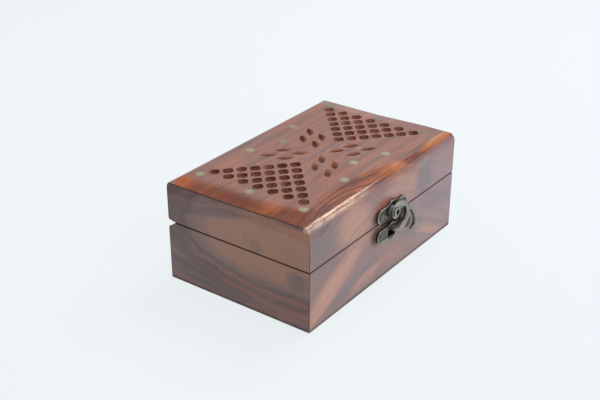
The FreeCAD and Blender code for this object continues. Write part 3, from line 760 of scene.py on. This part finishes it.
# Patina and painted shade where the metal sits close to the wood
LOW_SHADE_EDGE = (0.2, -0.05)
LOW_SHADE_SHARE = 0.7


def metal(name, shades, rough, low=None):
    """Worn metal: bright where it is rubbed, dull elsewhere, and darkened nearer the front face than low, as
    patina and painted shade.
    """
    bright, dull, deep = shades
    paint = Paint(name, Metallic=1.0)
    place = (paint.x, paint.y, paint.z)
    speck = paint.noise(place, SPECK_GRAIN)
    tint = paint.mix(paint.step(paint.noise(place, WEAR_GRAIN), *WEAR_EDGE), dull, bright)
    tint = paint.mix(paint.times(paint.step(speck, *SPECK_EDGE), SPECK_SHARE), tint, deep)
    if low is not None:
        # patina and painted shade close to the wood
        above_low = paint.minus(front_face - low, paint.y)
        tint = paint.mix(paint.times(paint.step(above_low, *LOW_SHADE_EDGE), LOW_SHADE_SHARE), tint, deep)
    return paint.finish(tint, paint.add(rough, paint.times(speck, SPECK_ROUGHNESS)), speck, SPECK_BUMP)


# Brass dots: a quarter of the layout, as places from the middle of the pattern, and their tarnish; one back
# dot is dimmed brown as a painted stand-in for the reflection that hides it

DOT_PLACES = [(63.65, 36.3), (21.5, 33.7), (64.3, 0.0), (0.0, 25.85)]
DOT_BRIGHT = colour(176, 161, 129)
DOT_DULL = colour(142, 127, 99)
DOT_RIM = colour(104, 92, 74)
DARK_TARNISH = colour(98, 72, 60)
REFLECTION_DIMMED_BROWN = colour(132, 102, 84)
GOLDEN_TARNISH = colour(136, 112, 74)
DOT_STAINS = [
    ((68.0, 0.0), (24.0, 80.0), 0.0, DARK_TARNISH, 0.7),
    # painted stand-in for the reflection that dims the back middle dot
    ((4.75, 28.95), (9.0, 9.0), 0.0, REFLECTION_DIMMED_BROWN, 0.75),
    ((26.25, 36.8), (9.0, 9.0), 0.0, GOLDEN_TARNISH, 0.5),
]
DOT_GRAIN = ((1.6, 1.6, 1.6), 4.0, 0.65)
DOT_SPECKS = (0.35, 0.65)
DOT_RIM_EDGE = (1.7, 3.1)
DOT_RIM_SHARE = 0.75
DOT_ROUGHNESS = (0.3, 0.5)
DOT_BUMP = 0.02
FAR_AWAY = 1000.0


def inlay():
    """Brass under lacquer: pale in the middle of each dot, darker at its rim, tarnished at the right end."""
    paint = Paint("inlay_brass", Metallic=0.7, Coat_Weight=0.6, Coat_Roughness=0.12)
    x, y, z = paint.x, paint.y, paint.z
    far = FAR_AWAY
    for place_x, place_y in DOT_PLACES:
        across = paint.off(paint.off(x, PATTERN_X), place_x)
        along = paint.off(paint.off(y, PATTERN_Y), place_y)
        far = paint.smaller(far, paint.length(across, along))
    speck = paint.noise((x, y, z), DOT_GRAIN)
    tint = paint.mix(paint.step(speck, *DOT_SPECKS), DOT_DULL, DOT_BRIGHT)
    tint = paint.mix(paint.times(paint.step(far, *DOT_RIM_EDGE), DOT_RIM_SHARE), tint, DOT_RIM)
    tint = paint.stain(tint, x, y, DOT_STAINS)
    return paint.finish(tint, paint.between(speck, *DOT_ROUGHNESS), speck, DOT_BUMP)


# Materials and soft edges of the CAD nodes

JOIN_DISTANCE = 0.001
HOOK_EDGE = 0.3
HOOK_EDGE_STEPS = 3
PLATE_EDGE = 0.15
PLATE_EDGE_STEPS = 2


def dress(material, *nodes):
    """Gives a material to CAD nodes."""
    for node in nodes:
        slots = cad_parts[node].data.materials
        slots.clear()
        slots.append(material)


def soften(width, segments, *nodes):
    """Rounds the edges of stamped or cast metal, by a width in millimetres."""
    for node in nodes:
        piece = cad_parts[node]
        weld = piece.modifiers.new("joined_faces", "WELD")
        weld.merge_threshold = JOIN_DISTANCE / MM
        bevel = piece.modifiers.new("soft_edges", "BEVEL")
        bevel.width = width / MM
        bevel.segments = segments
        bevel.limit_method = "ANGLE"
        bevel.harden_normals = True


dress(top_wood(), "lid_top_panel")
dress(wall_wood("rosewood_long_sides", long_side_figure, LONG_SIDE_LACQUER),
      "base_front_wall", "lid_front_rail", "base_back_wall", "lid_back_rail")
dress(wall_wood("rosewood_ends", end_figure, LACQUER),
      "base_left_wall", "lid_left_rail", "base_right_wall", "lid_right_rail")
dress(bottom_wood(), "bottom_panel")
dress(inlay(), "brass_inlay_dots")
dress(metal("antique_bronze", BRONZE, BRONZE_ROUGHNESS, BRONZE_SHADE_REACH),
      "latch_lid_plate", "latch_keeper_plate", "latch_hook", "latch_rivet")
dress(metal("latch_screw", SCREW_METAL, PLATED_ROUGHNESS),
      "latch_lid_screws", "latch_keeper_screws")
dress(metal("hinge_brass", HINGE_BRASS, PLATED_ROUGHNESS),
      "hinge_left_base_leaf", "hinge_right_base_leaf", "hinge_left_lid_leaf", "hinge_right_lid_leaf",
      "hinge_left_pin", "hinge_right_pin", "hinge_base_screws", "hinge_lid_screws")
soften(HOOK_EDGE, HOOK_EDGE_STEPS, "latch_hook")
soften(PLATE_EDGE, PLATE_EDGE_STEPS, "latch_lid_plate", "latch_keeper_plate")


# Stage, light and camera

def largest(nodes, links, first, *others):
    """The largest of some nodes' outputs."""
    for other in others:
        node = nodes.new("ShaderNodeMath")
        node.operation = "MAXIMUM"
        links.new(first, node.inputs[0])
        links.new(other, node.inputs[1])
        first = node.outputs[0]
    return first


def make_floor():
    """Pale floor that keeps a faint shadow, and glows a little where it is seen or mirrored."""
    half = FLOOR_SIZE / 2
    corners = [(-half, -half, -FLOOR_DROP), (half, -half, -FLOOR_DROP),
               (half, half, -FLOOR_DROP), (-half, half, -FLOOR_DROP)]
    mesh = bpy.data.meshes.new("floor")
    mesh.from_pydata(corners, [], [(0, 1, 2, 3)])
    floor = bpy.data.objects.new("floor", mesh)
    bpy.context.scene.collection.objects.link(floor)
    material = bpy.data.materials.new("pale_floor")
    material.use_nodes = True
    nodes = material.node_tree.nodes
    links = material.node_tree.links
    nodes.clear()
    matt = nodes.new("ShaderNodeBsdfDiffuse")
    matt.inputs["Color"].default_value = colour(*BACKGROUND)
    glow = nodes.new("ShaderNodeEmission")
    glow.inputs["Color"].default_value = colour(*BACKGROUND)
    glow.inputs["Strength"].default_value = FLOOR_BRIGHTNESS
    rays = nodes.new("ShaderNodeLightPath").outputs
    seen = largest(nodes, links, rays["Is Camera Ray"], rays["Is Glossy Ray"], rays["Is Transmission Ray"])
    share = nodes.new("ShaderNodeMath")
    share.operation = "MULTIPLY"
    share.inputs[1].default_value = FLOOR_GLOW
    both = nodes.new("ShaderNodeMixShader")
    out = nodes.new("ShaderNodeOutputMaterial")
    links.new(seen, share.inputs[0])
    links.new(share.outputs[0], both.inputs[0])
    links.new(matt.outputs[0], both.inputs[1])
    links.new(glow.outputs[0], both.inputs[2])
    links.new(both.outputs[0], out.inputs["Surface"])
    mesh.materials.append(material)


def make_world():
    """Sky of a white studio with a dimmer belt, and white where the camera looks straight at it."""
    world = bpy.data.worlds.new("studio")
    bpy.context.scene.world = world
    world.use_nodes = True
    nodes = world.node_tree.nodes
    links = world.node_tree.links
    background = nodes["Background"]
    background.inputs["Color"].default_value = colour(*BACKGROUND)
    place = nodes.new("ShaderNodeTexCoord")
    split = nodes.new("ShaderNodeSeparateXYZ")
    links.new(place.outputs["Generated"], split.inputs[0])
    sky = nodes.new("ShaderNodeValToRGB")
    set_stops(sky, [(sine, (bright, bright, bright, 1.0)) for sine, bright in SKY])
    links.new(split.outputs[2], sky.inputs[0])
    rays = nodes.new("ShaderNodeLightPath").outputs
    brightness = largest(nodes, links, rays["Is Camera Ray"], sky.outputs[0])
    links.new(brightness, background.inputs["Strength"])


def make_light(name, place, size, power):
    """Round soft light that faces the box."""
    lamp = bpy.data.lights.new(name, "AREA")
    lamp.shape = "DISK"
    lamp.size = size
    lamp.energy = power
    light = bpy.data.objects.new(name, lamp)
    light.location = place
    light.rotation_euler = (-place).to_track_quat("-Z", "Y").to_euler()
    bpy.context.scene.collection.objects.link(light)


def make_camera():
    """Camera at the photograph's place."""
    data = bpy.data.cameras.new("photo_camera")
    data.sensor_width = CAMERA_SENSOR
    data.lens = CAMERA_LENS
    data.clip_start = CAMERA_NEAREST
    camera = bpy.data.objects.new("photo_camera", data)
    camera.location = CAMERA_PLACE
    camera.rotation_euler = CAMERA_FORWARD.to_track_quat("-Z", "Y").to_euler()
    bpy.context.scene.collection.objects.link(camera)
    bpy.context.scene.camera = camera


make_floor()
make_world()
make_light("key", KEY_PLACE, KEY_SIZE, KEY_POWER)
make_light("fill", FILL_PLACE, FILL_SIZE, FILL_POWER)
make_camera()
bpy.context.scene.view_settings.view_transform = "Standard"
